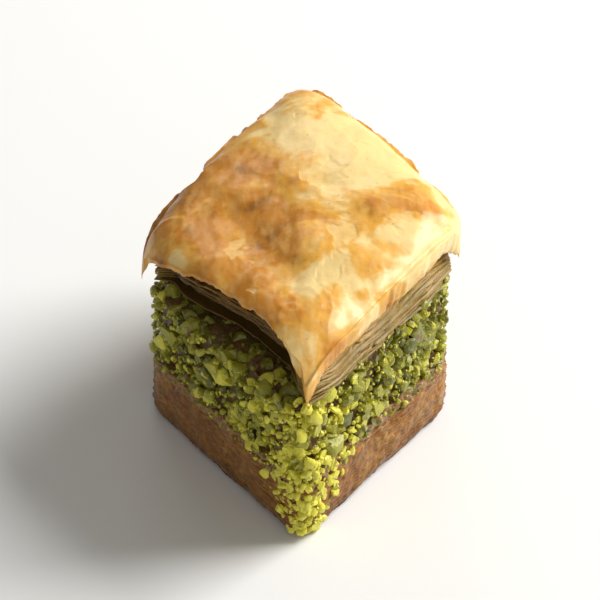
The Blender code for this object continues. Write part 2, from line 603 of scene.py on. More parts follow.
class Wet:
    """A material's node tree, with the recipes that the food finishes share."""

    def __init__(self, name: str) -> None:
        """Starts an empty material with object coordinates at hand.

        Args:
            name: the real material and how it is made.
        """
        self.material = bpy.data.materials.new(name)
        self.material.use_nodes = True
        self.tree = self.material.node_tree
        self.tree.nodes.clear()
        self.place = add_node(self.tree, "TexCoord").outputs["Object"]

    def grain(
        self, size: float, detail: float = 2.0, stretch: tuple[float, float, float] | None = None,
        distortion: float = 0.0, rough: float = 0.5,
    ) -> bpy.types.NodeSocket:
        """A random pattern of a real size on object coordinates.

        Args:
            size: width of one blotch in millimetres.
            detail: how many finer layers it has.
            stretch: scale along each axis; below 1 the blotches grow longer along it.
            distortion: how far it is swirled.
            rough: how strong each finer layer is.

        Returns:
            The pattern, from 0 to 1.
        """
        place = self.place
        if stretch is not None:
            inputs = {"Vector": place, "Scale": stretch}
            place = add_node(self.tree, "Mapping", inputs=inputs).outputs[0]
        return add_node(
            self.tree, "TexNoise",
            inputs={"Vector": place, "Scale": 1.0 / (size * MM), "Detail": detail,
                    "Roughness": rough, "Distortion": distortion},
        ).outputs["Fac"]

    def varied(
        self, number: str | bpy.types.NodeSocket, pattern: bpy.types.NodeSocket, middle: float,
        gain: float,
    ) -> bpy.types.NodeSocket:
        """A number made uneven by a pattern: number + (pattern - middle) * gain.

        Args:
            number: the name of a value that the mesh carries, or a number of the material.
            pattern: the pattern, from 0 to 1.
            middle: the pattern's value that changes nothing.
            gain: how much the pattern counts.

        Returns:
            The uneven number.
        """
        if isinstance(number, str):
            number = add_node(self.tree, "Attribute", {"attribute_name": number}).outputs["Fac"]
        for operation, first, second in (
            ("SUBTRACT", pattern, middle), ("MULTIPLY", None, gain), ("ADD", None, number),
        ):
            pattern = add_node(
                self.tree, "Math", {"operation": operation},
                {0: pattern if first is None else first, 1: second},
            ).outputs[0]
        return pattern

    def paint(
        self, under: str | bpy.types.NodeSocket, over: str, source: str | bpy.types.NodeSocket,
        low: float, high: float, start: float = 0.0, end: float = 1.0,
    ) -> bpy.types.NodeSocket:
        """Lays a colour over another where a number rises from low to high, with soft ends.

        Args:
            under: the colour below, as hex or as a socket.
            over: the hex colour that is laid over it.
            source: the number, or the name of a value that the mesh carries.
            low: the number at which the cover has its share start.
            high: the number at which it has its share end.
            start: share of the upper colour at low.
            end: share of the upper colour at high.

        Returns:
            The blended colour.
        """
        if isinstance(source, str):
            source = add_node(self.tree, "Attribute", {"attribute_name": source}).outputs["Fac"]
        share = add_node(
            self.tree, "MapRange", {"interpolation_type": "SMOOTHSTEP"},
            {"Value": source, "From Min": low, "From Max": high, "To Min": start, "To Max": end},
        )
        below = linear(under) if isinstance(under, str) else under
        return add_node(
            self.tree, "Mix", {"data_type": "RGBA", "clamp_result": True},
            {0: share.outputs["Result"], 6: below, 7: linear(over)},
        ).outputs[2]

    def bumps(self, heights: list[tuple[bpy.types.NodeSocket, float]]) -> bpy.types.NodeSocket:
        """Stacks bump layers, each on the normal of the one before.

        Args:
            heights: for each layer its height from 0 to 1 and its depth in millimetres.

        Returns:
            The last layer's normal.
        """
        normal: dict[str | int, Any] = {}
        for height, depth in heights:
            inputs = {"Height": height, "Distance": depth * MM, "Strength": 1.0, **normal}
            normal = {"Normal": add_node(self.tree, "Bump", inputs=inputs).outputs["Normal"]}
        return normal["Normal"]

    def finish(self, inputs: dict[str | int, Any]) -> bpy.types.Material:
        """Ends the tree in a Principled shader and its output.

        Args:
            inputs: what goes into the shader's sockets.

        Returns:
            The finished material.
        """
        shader = add_node(
            self.tree, "BsdfPrincipled", {"subsurface_method": "RANDOM_WALK"}, inputs
        )
        add_node(self.tree, "OutputMaterial", inputs={"Surface": shader.outputs[0]})
        return self.material


@dataclass(frozen=True)
class GlazedCrust:
    """Top filo leaves baked golden and glazed with syrup: glossy, translucent, blotched brown.

    The syrup is a thin clear coat with an index of about 1.45; the leaf below it scatters light
    over about a millimetre, so thin edges glow yellow.
    """

    pale: str = "FAD690"
    gold: str = "EAAA40"
    brown: str = "CE862A"
    toasted: str = "A06622"
    bare: str = "F4D28A"

    def make(self) -> bpy.types.Material:
        """Builds the material from the mesh's values brown and bare.

        Returns:
            The material.
        """
        wet = Wet("glazed_baked_filo")
        fine = wet.grain(0.9, 3.0)
        # How far each place has browned, with painted shade on the left slope and painted
        # highlight: pale, gold, brown and, at its darkest, toasted.
        tone = wet.varied("brown", wet.grain(4.6, 3.0, distortion=0.6), 0.46, 2.2)
        tone = wet.varied(tone, fine, 0.5, 0.42)
        colour = wet.paint(self.pale, self.gold, tone, 0.10, 0.46)
        colour = wet.paint(colour, self.brown, tone, 0.44, 0.86)
        colour = wet.paint(colour, self.toasted, tone, 0.92, 1.35)
        # Where the topmost leaf has flaked off, the leaf below it shows paler.
        bare = add_node(wet.tree, "Attribute", {"attribute_name": "bare"}).outputs["Fac"]
        share = add_node(wet.tree, "Math", {"operation": "MULTIPLY"}, {0: bare, 1: 0.55})
        colour = add_node(
            wet.tree, "Mix", {"data_type": "RGBA", "clamp_result": True},
            {0: share.outputs[0], 6: colour, 7: linear(self.bare)},
        ).outputs[2]
        streak = wet.grain(0.8, 2.0, (1.0, 0.35, 1.0))
        colour = wet.paint(colour, self.pale, streak, 0.35, 0.7, 0.0, 0.22)
        colour = wet.paint(colour, self.toasted, wet.grain(0.45, 1.0), 0.70, 0.80, 0.0, 0.35)
        rough = add_node(
            wet.tree, "MapRange", {"interpolation_type": "SMOOTHSTEP"},
            {"Value": wet.grain(2.2, 2.0), "From Min": 0.3, "From Max": 0.7,
             "To Min": 0.34, "To Max": 0.56},
        )
        normal = wet.bumps([
            (wet.grain(1.7, 2.0, (1.0, 0.7, 1.0)), 0.05), (fine, 0.032),
            (wet.grain(0.30, 2.0), 0.012),
        ])
        return wet.finish({
            "Base Color": colour, "Roughness": rough.outputs["Result"], "Normal": normal,
            "IOR": 1.45, "Specular IOR Level": 0.25,
            "Subsurface Weight": 0.16, "Subsurface Radius": (1.0, 0.7, 0.25),
            "Subsurface Scale": 0.8 * MM, "Coat Weight": 0.28, "Coat Roughness": 0.15,
            "Coat IOR": 1.45,
        })


@dataclass(frozen=True)
class CrispFilo:
    """Baked filo leaves seen on their cut edges: pale, buttery, thin enough to glow."""

    cream: str = "D8AE60"
    butter: str = "B88A3C"
    baked: str = "9C682A"
    soaked: str = "85702C"
    # Colour of the painted shade in the hollow under the crust's left front edge.
    shaded: str = "4E3414"

    def make(self) -> bpy.types.Material:
        """Builds the material from the mesh's values tone, height and hollow.

        Returns:
            The material.
        """
        wet = Wet("crisp_buttered_filo")
        fine = wet.grain(0.7, 3.0)
        colour = wet.paint(self.cream, self.butter, "tone", 0.0, 1.0)
        # The upper leaves are baked browner, and the lowest have drawn up green syrup.
        toast = wet.varied("height", fine, 0.5, 0.9)
        colour = wet.paint(colour, self.baked, toast, 0.72, 1.25, 0.0, 0.75)
        low = wet.varied("height", wet.grain(2.4, 2.0), 0.5, 0.7)
        colour = wet.paint(colour, self.soaked, low, 0.15, 0.85, 0.9, 0.0)
        colour = wet.paint(colour, self.baked, fine, 0.5, 0.72, 0.0, 0.45)
        # Painted shade: leaves recessed under the crust's left front edge, and the heart, are
        # mixed towards a dark shade colour.
        colour = wet.paint(colour, self.shaded, "hollow", 0.1, 0.9, 0.0, 0.72)
        normal = wet.bumps([(wet.grain(0.5, 3.0, (1.0, 1.0, 2.5)), 0.05)])
        return wet.finish({
            "Base Color": colour, "Roughness": 0.42, "Normal": normal, "IOR": 1.45,
            "Subsurface Weight": 0.35, "Subsurface Radius": (1.0, 0.62, 0.28),
            "Subsurface Scale": 0.7 * MM, "Specular IOR Level": 0.3, "Coat Weight": 0.08,
            "Coat Roughness": 0.25,
        })


@dataclass(frozen=True)
class SoakedBase:
    """Lower filo leaves pressed together by syrup and browned against the tray: sticky, amber."""

    amber: str = "98601C"
    honey: str = "B2802C"
    dark: str = "6C4216"
    green: str = "766C28"
    scorched: str = "56300F"

    def make(self) -> bpy.types.Material:
        """Builds the material from the mesh's values tone and height.

        Returns:
            The material.
        """
        wet = Wet("syrup_soaked_filo")
        lines = wet.grain(0.42, 3.0, (0.4, 0.4, 1.0), 0.8, 0.6)
        blotch = wet.grain(2.6, 4.0)
        grain = wet.grain(0.6, 3.0)
        colour = wet.paint(self.amber, self.honey, lines, 0.42, 0.66)
        colour = wet.paint(colour, self.dark, grain, 0.50, 0.66, 0.0, 0.55)
        colour = wet.paint(colour, self.green, wet.grain(1.1, 2.0), 0.60, 0.68, 0.0, 0.5)
        colour = wet.paint(colour, self.dark, "tone", 0.35, 0.95, 0.0, 0.8)
        colour = wet.paint(colour, self.dark, blotch, 0.42, 0.72, 0.0, 0.5)
        low = wet.varied("height", blotch, 0.5, 0.5)
        colour = wet.paint(colour, self.scorched, low, 0.0, 0.42, 0.75, 0.0)
        rough = add_node(
            wet.tree, "MapRange", {"interpolation_type": "SMOOTHSTEP"},
            {"Value": blotch, "From Min": 0.3, "From Max": 0.7, "To Min": 0.28, "To Max": 0.46},
        )
        fine = wet.grain(0.35, 2.0, (0.3, 0.3, 1.0))
        normal = wet.bumps([(lines, 0.10), (grain, 0.12), (fine, 0.035)])
        return wet.finish({
            "Base Color": colour, "Roughness": rough.outputs["Result"],
            "Normal": normal, "IOR": 1.46, "Specular IOR Level": 0.35, "Subsurface Weight": 0.2,
            "Subsurface Radius": (1.0, 0.55, 0.2), "Subsurface Scale": 0.9 * MM,
            "Coat Weight": 0.28, "Coat Roughness": 0.16, "Coat IOR": 1.47,
        })


@dataclass(frozen=True)
class PistachioKernel:
    """Chopped green kernels: waxy inside where broken, with shreds of thin purple skin outside."""

    leaf: str = "9C9A2A"
    lime: str = "E2DA4A"
    deep: str = "5E6020"
    cut: str = "D0C658"
    skin: str = "7C5840"

    def make(self) -> bpy.types.Material:
        """Builds the material from the mesh's values tone and skin.

        Returns:
            The material.
        """
        wet = Wet("chopped_pistachio_kernel")
        grain = wet.grain(0.42, 3.0)
        colour = wet.paint(self.deep, self.leaf, "tone", 0.0, 0.5)
        colour = wet.paint(colour, self.lime, "tone", 0.5, 1.0)
        colour = wet.paint(colour, self.cut, grain, 0.48, 0.72, 0.0, 0.45)
        shred = wet.varied("skin", wet.grain(0.8, 3.0), 0.5, 0.9)
        colour = wet.paint(colour, self.skin, shred, 0.62, 0.86, 0.0, 0.85)
        normal = wet.bumps([(grain, 0.10), (wet.grain(0.18, 2.0), 0.03)])
        return wet.finish({
            "Base Color": colour, "Roughness": 0.46, "Normal": normal, "IOR": 1.46,
            "Subsurface Weight": 0.2, "Subsurface Radius": (1.0, 1.0, 0.3),
            "Subsurface Scale": 0.5 * MM, "Coat Weight": 0.16, "Coat Roughness": 0.2,
        })


@dataclass(frozen=True)
class GroundNuts:
    """Finely ground nuts stuck together with syrup: a tan to mauve paste, damp and grainy."""

    tan: str = "AE8448"
    mauve: str = "845C3C"
    green: str = "86833A"
    shade: str = "3E3014"

    def make(self, dark: bool = False) -> bpy.types.Material:
        """Builds the material.

        Args:
            dark: whether it is the inside that shows between chunks, darkened by painted shade.

        Returns:
            The material.
        """
        wet = Wet("ground_nut_heart" if dark else "ground_nut_paste")
        grain = wet.grain(0.5, 3.0)
        colour = wet.paint(self.mauve, self.tan, grain, 0.35, 0.65)
        colour = wet.paint(colour, self.green, wet.grain(2.0, 2.0), 0.50, 0.66, 0.0, 0.6)
        if dark:
            # Painted shade: the inside between the chunks is mixed 55% towards a dark shade
            # colour.
            colour = wet.paint(colour, self.shade, grain, 0.0, 1.0, 0.55, 0.55)
        normal = wet.bumps([(grain, 0.16), (wet.grain(0.2, 2.0), 0.04)])
        return wet.finish({
            "Base Color": colour, "Roughness": 0.52, "Normal": normal, "IOR": 1.46,
            "Subsurface Weight": 0.15, "Subsurface Radius": (1.0, 0.6, 0.3),
            "Subsurface Scale": 0.4 * MM, "Coat Weight": 0.3, "Coat Roughness": 0.2,
        })


@dataclass(frozen=True)
class StudioFloor:
    """Smooth pale board under the piece."""

    colour: str = "F4F3F0"

    def make(self) -> bpy.types.Material:
        """Builds the material: a matt board."""
        wet = Wet("pale_matt_board")
        return wet.finish({"Base Color": linear(self.colour), "Roughness": 0.75})


# ------------------------------------------------------------------ the pastry


@dataclass
class CrustSheet:
    """The glazed top: a few leaves baked into one skin, domed, wrinkled and torn at its edge.

    It hangs over the cut faces by a narrow rim, and over the four corners by a longer flap. Each
    of the spots is a place in plan, a radius, and how much browner the crust is there; a negative
    strength paints a paler patch, a painted highlight.
    """

    shape: Diamond
    around: int = 760
    rings: int = 84
    under_rings: int = 12
    hang_rings: int = 9
    thickness: float = 0.30
    wrinkles: float = 0.07
    proud: float = 0.38
    rim: float = 0.42
    right_rim: float = 2.3
    chip: float = 1.3
    lean: float = 0.14
    blisters: int = 15
    flaps: tuple[float, float, float, float] = (1.6, 1.4, 1.3, 1.4)
    spots: tuple[tuple[float, float, float, float], ...] = (
        (-3.2, 1.0, 2.7, 0.24), (-1.0, -5.5, 2.4, 0.22), (9.8, -1.2, 2.3, 0.34),
        (-1.0, 12.5, 4.0, -0.75), (1.4, 6.5, 4.4, -0.55), (3.4, -7.0, 2.8, -0.34),
        (6.5, 3.0, 3.4, -0.30),
    )
    seed: int = 11

    def profile(self) -> tuple[Array, Array, Array]:
        """Profile of the skin from the middle of its underside to the middle of its top.

        Returns:
            Share of the way out, side (0 on the lower and 1 on the upper), and share of the
            rim's hang.
        """
        hang = np.linspace(0.0, 1.0, self.hang_rings)
        under = np.linspace(0.03, 1.0, self.under_rings) ** 0.8 * 0.985
        over = 1.0 - (np.linspace(0.0, 1.0, self.rings)) ** 1.25 * 0.985
        inner, outer = 0.985 + 0.004 * hang, 1.004 - 0.004 * (1 - hang[::-1])
        low, high = self.under_rings - 1 + self.hang_rings, self.hang_rings + self.rings - 1
        reach = np.concatenate((under[:-1], inner, [0.998], outer, over[1:]))
        upper = np.concatenate((np.zeros(low), [0.5], np.ones(high)))
        flat_under, flat_over = np.zeros(self.under_rings - 1), np.zeros(self.rings - 1)
        drop = np.concatenate((flat_under, hang, [1.03], hang[::-1], flat_over))
        return reach, upper, drop

    def tear(self, u: Array, v: Array, drop: Array) -> Array:
        """How far the edge is drawn in: slow waves, wide notches, and flakes at the torn rim.

        Args:
            u, v: places along the rim.
            drop: share of the way down the hanging rim; the flakes show most at its foot.

        Returns:
            Millimetres for each place and share of the rim, shape (around, along).
        """
        x, y = self.shape.plan(u, v)
        noise = GradientNoise(self.seed)
        slow = 0.42 * noise.at(space(x, y, 0.0, 4.6))
        flakes = 0.36 * noise.layered(space(x, y, 3.0, 1.5), 3, 0.6)
        notch = 1.3 * smooth(0.15, 0.60, noise.layered(space(x, y, 7.0, 3.6), 3, 0.6))
        slow = slow * (1.0 - 0.5 * smooth(0.9, 1.0, u))
        chip = self.chip * np.exp(-(((u - 0.32) / 0.13) ** 4)) * smooth(-0.9, -1.0, v)
        notch = notch * (1.0 - 0.8 * smooth(0.9, 1.0, v))
        whole = slow + notch + chip + self.shape.shrunk(u, v) - self.proud
        on_right = smooth(0.9, 1.0, v)[:, None]
        return whole[:, None] + flakes[:, None] * (1.0 - 0.75 * on_right * (1.0 - drop))

    def hang(self, u: Array, v: Array) -> Array:
        """How far the rim hangs: a little along the faces and more at the corners, torn off.

        The rim's own hang grows towards the right front face. A flap whose length is blended
        between the four corners is added near them, and noise tears both.

        Args:
            u, v: places along the rim.

        Returns:
            Millimetres for each place.
        """
        front = (1.0 + v) * self.flaps[0] + (1.0 - v) * self.flaps[1]
        back = (1.0 + v) * self.flaps[2] + (1.0 - v) * self.flaps[3]
        flap = ((1.0 + u) * front + (1.0 - u) * back) / 4
        x, y = self.shape.plan(u, v)
        noise = GradientNoise(self.seed + 9)
        torn = 1.0 + 0.50 * noise.layered(space(x, y, 0.0, 2.8), 3, 0.5)
        rim = self.rim + (self.right_rim - self.rim) * smooth(0.8, 1.0, v) * smooth(1.12, 0.8, u)
        return (rim + flap * smooth(0.72, 0.99, np.abs(u * v)) ** 1.8) * torn

    def layer_steps(self, x: Array, y: Array) -> tuple[Array, Array]:
        """Where the topmost leaves have flaked away: two noises cut off at a level.

        Args:
            x, y: places in millimetres.

        Returns:
            For the first and the second leaf, 1 where it is gone and 0 where it lies.
        """
        noise = GradientNoise(self.seed + 1)
        field_a = noise.layered(space(x, y, 0.0, 7.0), 4, 0.55)
        field_b = noise.layered(space(x, y, 40.0, 5.2), 4, 0.6)
        return smooth(0.30, 0.34, field_a), smooth(0.33, 0.365, field_b)

    def blister_height(self, x: Array, y: Array) -> Array:
        """Low round blisters: bell curves of the distance, every fifth one burst to a ring.

        Args:
            x, y: places in millimetres.

        Returns:
            Heights in millimetres.
        """
        rng = np.random.default_rng(self.seed + 2)
        total = np.zeros_like(x)
        for number in range(self.blisters):
            u, v = rng.uniform(-0.85, 0.85, 2)
            cx, cy = self.shape.plan(np.array(u), np.array(v))
            radius, height = rng.uniform(0.7, 1.9), rng.uniform(0.04, 0.13)
            away = np.hypot((x - cx) * rng.uniform(0.8, 1.25), y - cy)
            if number % 5 == 0:
                total += 0.8 * height * np.exp(-(((away - radius) / 0.30) ** 2))
            else:
                total += height * np.exp(-((away / radius) ** 2))
        return total

    def height(self, u: Array, v: Array) -> tuple[Array, dict[str, Array]]:
        """The crust's surface: its slow shape plus wrinkles, flaked steps and blisters.

        Args:
            u, v: places on the square.

        Returns:
            Heights in millimetres, and the values brown, which holds browning with painted shade
            and highlight, and bare for the finish.
        """
        x, y = self.shape.plan(u, v)
        noise = GradientNoise(self.seed + 3)
        hill = self.shape.hills(x, y)
        warp = 0.9 * noise.at(space(x, y, 21.0, 3.4))
        crease = noise.creased(space(x * 1.1 + warp, y * 0.8 - warp, 5.0, 6.0), 1)
        bubbles = noise.layered(space(x, y * 0.8, 9.0, 1.5), 2)
        gone_a, gone_b = self.layer_steps(x, y)
        edge = np.maximum(np.abs(u), np.abs(v))
        blister = self.blister_height(x, y)
        lift = self.wrinkles * (crease**6 + bubbles)
        lift += blister - 0.06 * gone_a - 0.05 * gone_b
        lift += 0.20 * noise.at(space(x, y, 2.0, 2.2)) * smooth(0.80, 1.0, edge)
        across = x - self.shape.centre_x
        brown = 0.44 + 0.40 * hill + 0.12 * crease**6 - 0.16 * smooth(0.70, 1.0, edge)
        # Painted shade and painted light: brown rises on the left slope, away from the key lamp,
        # and falls on the lit right slope.
        brown += 0.36 * smooth(1.5, -5.0, across) - 0.22 * smooth(1.0, 7.0, across) + 0.3 * blister
        singed = smooth(0.975, 1.0, edge) * smooth(0.9, 0.6, np.abs(u * v)) * smooth(1.0, 0.85, v)
        brown += 0.42 * singed
        # Spots of positive strength are browned patches; negative ones are painted highlight on
        # the crust's top and right slope.
        for spot_x, spot_y, radius, strength in self.spots:
            brown += strength * np.exp(-((x - spot_x) ** 2 + (y - spot_y) ** 2) / radius**2)
        bare = np.clip(gone_a + 0.8 * gone_b, 0.0, 1.0)
        return self.shape.crust(u, v) + lift, {"brown": brown, "bare": bare}

    def build(self) -> Surface:
        """The closed skin: its lower side, hanging rim and upper side in one profile.

        The profile runs around the rim; each point is drawn in by the tear, and lies on the
        crust's height less the skin's thickness below and the hang at the rim.

        Returns:
            The skin's surface with the values brown and bare.
        """
        rim_u, rim_v = self.shape.rim(self.around)
        reach, upper, drop = self.profile()
        torn = self.tear(rim_u, rim_v, drop)
        drawn = 1.0 - torn / (self.shape.side / 2) * smooth(0.72, 1.0, reach)
        hang = self.hang(rim_u, rim_v)[:, None] * drop
        drawn = drawn - self.lean * hang / (self.shape.side / 2) * drop
        u, v = rim_u[:, None] * reach * drawn, rim_v[:, None] * reach * drawn
        x, y = self.shape.plan(u, v)
        z, values = self.height(u, v)
        values["brown"] = values["brown"] + 0.22 * drop
        z = z - self.thickness * (1.0 - upper) * smooth(1.0, 0.7, drop) - hang
        return disc_surface(x, y, z, values)

    def dress(self) -> None:
        """Adds the crust to the scene."""
        skin, finish = self.build(), GlazedCrust().make()
        add_piece("crust_skin", skin, finish, "top_pastry", shape=self.shape)


@dataclass
class LeafStack:
    """Crisp leaves between the nuts and the crust, each a thin wavy sheet torn at the cut.

    A leaf is a closed strip around the piece; its inner edge lies in a solid heart.
    """

    shape: Diamond
    leaves: int = 22
    around: int = 620
    thickness: float = 0.18
    inner: float = 0.55
    hollow: float = 3.0
    seed: int = 31

    def profile(self) -> tuple[Array, Array]:
        """Cross-section of a leaf, out along its lower side and back along its upper.

        Returns:
            Share of the way from inner to outer edge, and side: -1 below and 1 above.
        """
        out = np.linspace(0.0, 1.0, 9) ** 0.7
        reach = np.concatenate((out[:-1], [0.99, 1.0, 0.99], out[-2::-1]))
        side = np.concatenate((-np.ones(8), [-0.8, 0.0, 0.8], np.ones(8)))
        return reach, side

    def levels(self) -> Array:
        """Where the leaves lie; some lie close and others leave a gap.

        Returns:
            Share of the height for each leaf: the running sum of random steps over their sum.
        """
        rng = np.random.default_rng(self.seed)
        steps = rng.uniform(0.35, 1.3, self.leaves + 1)
        steps[rng.integers(3, self.leaves - 2, 4)] += 1.1
        levels = np.cumsum(steps)[:-1]
        return levels / steps.sum()

    def hollow_at(self, u: Array, v: Array, level: float) -> Array:
        """Extra recess of all but the topmost leaves along the left front face.

        Args:
            u, v: places along the rim.
            level: the leaf's share of the height.

        Returns:
            Millimetres for each place.
        """
        along = smooth(-1.06, -0.90, v) * smooth(1.0, 0.80, v)
        top = float(smooth(1.0, 0.86, np.array(level)))
        return self.hollow * smooth(0.80, 1.0, u) * along * top

    def leaf(self, number: int, level: float) -> Surface:
        """One leaf: its profile carried around the rim, drawn in where the leaf is torn.

        Its height is its share of the room between the nuts and the crust, plus a slow bow that
        neighbours share, and a fray and a curl of its own that grow towards its outer edge.

        Args:
            number: its place from the bottom.
            level: the share of the height at which it lies.

        Returns:
            A closed strip with the values tone, height and hollow.
        """
        rng = np.random.default_rng(self.seed * 100 + number)
        noise = GradientNoise(self.seed * 7 + number)
        shared = GradientNoise(self.seed)
        rim_u, rim_v = self.shape.rim(self.around)
        edge_x, edge_y = self.shape.plan(rim_u, rim_v)
        ragged = noise.layered(space(edge_x, edge_y, 0.0, 2.0), 3, 0.6)
        bites = noise.layered(space(edge_x, edge_y, 5.0, 3.4), 3, 0.6)
        torn = 0.15 + rng.uniform(0.0, 0.40) + 0.20 * ragged + 0.7 * smooth(0.25, 0.6, bites)
        torn += self.hollow_at(rim_u, rim_v, level) * rng.uniform(0.35, 1.1)
        torn += 0.5 * smooth(0.6, 1.0, np.abs(rim_u * rim_v)) + self.shape.shrunk(rim_u, rim_v)
        torn += 0.45 * smooth(0.9, 1.0, rim_v) * level
        reach, side = self.profile()
        share = self.inner + (1.0 - self.inner) * reach
        share = share[None, :] * (1.0 - torn[:, None] / (self.shape.side / 2) * reach)
        u, v = rim_u[:, None] * share, rim_v[:, None] * share
        x, y = self.shape.plan(u, v)
        low = self.shape.nuts(u, v) + 0.15 + self.shape.gap_under_crust(u, v)
        high = self.shape.crust(u, v) - 0.40
        room = np.maximum(high - low, 0.3)
        middle = level * (1.0 - level) * 4.0
        bow = 0.055 * shared.at(space(x, y, level * 9.0, 5.0)) * (0.3 + middle)
        fray = 0.10 * noise.at(space(x, y, 1.0, 2.4)) * reach**3
        curl = 0.22 * noise.at(space(x, y, 8.0, 3.6)) * reach**8
        z = low + room * (level + bow * smooth(0.1, 1.0, reach))
        z = z + (fray + curl) * np.minimum(1.0, room / 6.0)
        z = z + side * self.thickness / 2 * rng.uniform(0.8, 1.4) * np.minimum(1.0, room / 5.0)
        tone = np.clip(rng.uniform(0.0, 1.0) + 0.25 * noise.at(space(x, y, 3.0, 3.0)), 0.0, 1.0)
        # hollow is also the mask of the painted shade on the recessed leaves.
        hollow = self.hollow_at(rim_u, rim_v, level)[:, None] / self.hollow
        height = np.full_like(x, level)
        return ring_surface(x, y, z, {"tone": tone, "height": height, "hollow": hollow})

    def heart(self) -> Surface:
        """The solid middle of the stack, drawn in from the cut faces.

        Returns:
            A closed solid between the nuts and the crust, with the values of a leaf in painted
            shade.
        """
        around = 160
        rim_u, rim_v = self.shape.rim(around)
        inside = np.linspace(0.1, 1.0, 10)
        reach = np.concatenate((inside, np.ones(8), inside[::-1]))
        up = np.concatenate((np.zeros(10), np.linspace(0.0, 1.0, 8), np.ones(10)))
        drawn = 0.89 - 0.29 * smooth(0.8, 1.0, rim_u) * smooth(-1.05, -0.9, rim_v)
        share = reach[None, :] * drawn[:, None]
        u, v = rim_u[:, None] * share, rim_v[:, None] * share
        x, y = self.shape.plan(u, v)
        low = self.shape.nuts(u, v) - 0.3
        high = self.shape.crust(u, v) - 0.75
        # Its hollow value of 0.8 paints the heart in shade.
        values = {"tone": np.ones_like(x), "height": 0.6 * up, "hollow": np.full_like(x, 0.8)}
        return disc_surface(x, y, low + (high - low) * up, values)

    def dress(self) -> None:
        """Adds the leaves, in three piles, and their heart."""
        finish = CrispFilo().make()
        strips = [self.leaf(number, float(level)) for number, level in enumerate(self.levels())]
        third = math.ceil(len(strips) / 3)
        names = ("lower", "middle", "upper")
        parts = {
            f"filo_leaves_{name}": join(strips[pile * third:(pile + 1) * third])
            for pile, name in enumerate(names)
        }
        parts["top_pastry_heart"] = self.heart()
        for name, part in parts.items():
            add_piece(name, part, finish, "top_pastry", shape=self.shape)


@dataclass
class BaseSlab:
    """The soaked base: many leaves pressed into one slab, grooved along its sides."""

    shape: Diamond
    around: int = 720
    side_rings: int = 84
    cap_rings: int = 16
    groove: float = 0.12
    leaf_pitch: float = 0.34
    seed: int = 51

    def build(self) -> Surface:
        """The closed slab; its side leans and steps from leaf to leaf.

        A leaf's number is the height over its pitch, warped by slow noise, so that the leaves
        wave. Each leaf sticks out by its own amount, and a groove lies between two leaves.

        Returns:
            The slab's surface with the values tone and height.
        """
        rim_u, rim_v = self.shape.rim(self.around)
        cap = np.linspace(0.06, 0.985, self.cap_rings)
        rise = np.linspace(0.0, 1.0, self.side_rings)
        reach = np.concatenate((cap, np.ones(self.side_rings), cap[::-1]))
        up = np.concatenate((np.zeros(self.cap_rings), rise, np.ones(self.cap_rings)))
        u, v = rim_u[:, None] * reach, rim_v[:, None] * reach
        x, y = self.shape.plan(u, v)
        noise = GradientNoise(self.seed)
        top = self.shape.base_top + 0.25 * noise.layered(space(x, y, 0.0, 3.4), 2)
        z = top * up
        level = z / self.leaf_pitch + 1.3 * noise.layered(space(x, y, z * 0.4, 4.5), 2) + 40.0
        number = np.floor(level)
        inside = level - number
        stick_out = noise.at(np.stack((x / 4.5, y / 4.5, number * 7.31), axis=-1))
        crack = np.exp(-((np.minimum(inside, 1.0 - inside) / 0.2) ** 2))
        crack = crack * smooth(-0.35, 0.35, noise.at(space(x, y, z, 2.2)))
        foot = 0.55 * np.exp(-((z / 0.6) ** 2)) + 0.2 * np.exp(-(((top - z) / 0.35) ** 2))
        lumps = 0.34 * noise.layered(space(x, y, z, 3.4), 3)
        lumps += 0.13 * noise.layered(space(x, y, z, 0.8), 2)
        rounded = self.shape.rounding(rim_u, rim_v)[:, None]
        draw_in = foot - lumps - 0.12 * stick_out + self.groove * crack + 0.25 + rounded
        edge = smooth(0.9, 1.0, reach)
        share = 1.0 - draw_in / (self.shape.side / 2) * edge
        u, v = u * share, v * share
        x, y = self.shape.plan(u, v)
        tone = np.clip(0.35 + 0.45 * stick_out + 0.35 * crack, 0.0, 1.0)
        return disc_surface(x, y, z, {"tone": tone, "height": up})

    def dress(self) -> None:
        """Adds the base."""
        finish = SoakedBase().make()
        slab = self.build()
        add_piece("base_slab", slab, finish, "base_pastry", shape=self.shape)


# ------------------------------------------------------------------ the nuts


def ball(rows: int, columns: int) -> tuple[Array, Index, Index]:
    """A ball's grid: sines and cosines of even steps in latitude and longitude.

    Args:
        rows: steps from pole to pole.
        columns: steps around.

    Returns:
        Directions of its points, its quads, and the triangles at its two poles.
    """
    lat = np.pi * (np.arange(1, rows) / rows)
    lon = 2 * np.pi * np.arange(columns) / columns
    ring = np.stack((np.cos(lon), np.sin(lon)), axis=1)
    grid = np.zeros((columns, rows - 1, 3))
    grid[..., 0] = ring[:, None, 0] * np.sin(lat)
    grid[..., 1] = ring[:, None, 1] * np.sin(lat)
    grid[..., 2] = -np.cos(lat)
    surface = disc_surface(grid[..., 0], grid[..., 1], grid[..., 2], {})
    points = surface.points
    points[-2:] = ((0.0, 0.0, -1.0), (0.0, 0.0, 1.0))
    return points, surface.faces[0], np.concatenate(surface.faces[1:])


class Lie(Enum):
    """Where nuts of a kind lie."""

    BED = "in the cut faces of the nut bed"
    TOP = "on the bed, in the hollow under the leaves"
    CORNER = "stuck to the front corner below the bed"


@dataclass
class NutKind:
    """One kind of chopped nut: how many, how large, and how finely each is drawn."""

    name: str
    count: int
    smallest: float
    largest: float
    rows: int
    columns: int
    knife_cuts: int
    deepest: float
    seed: int
    tone: float = 0.52
    lie: Lie = Lie.BED


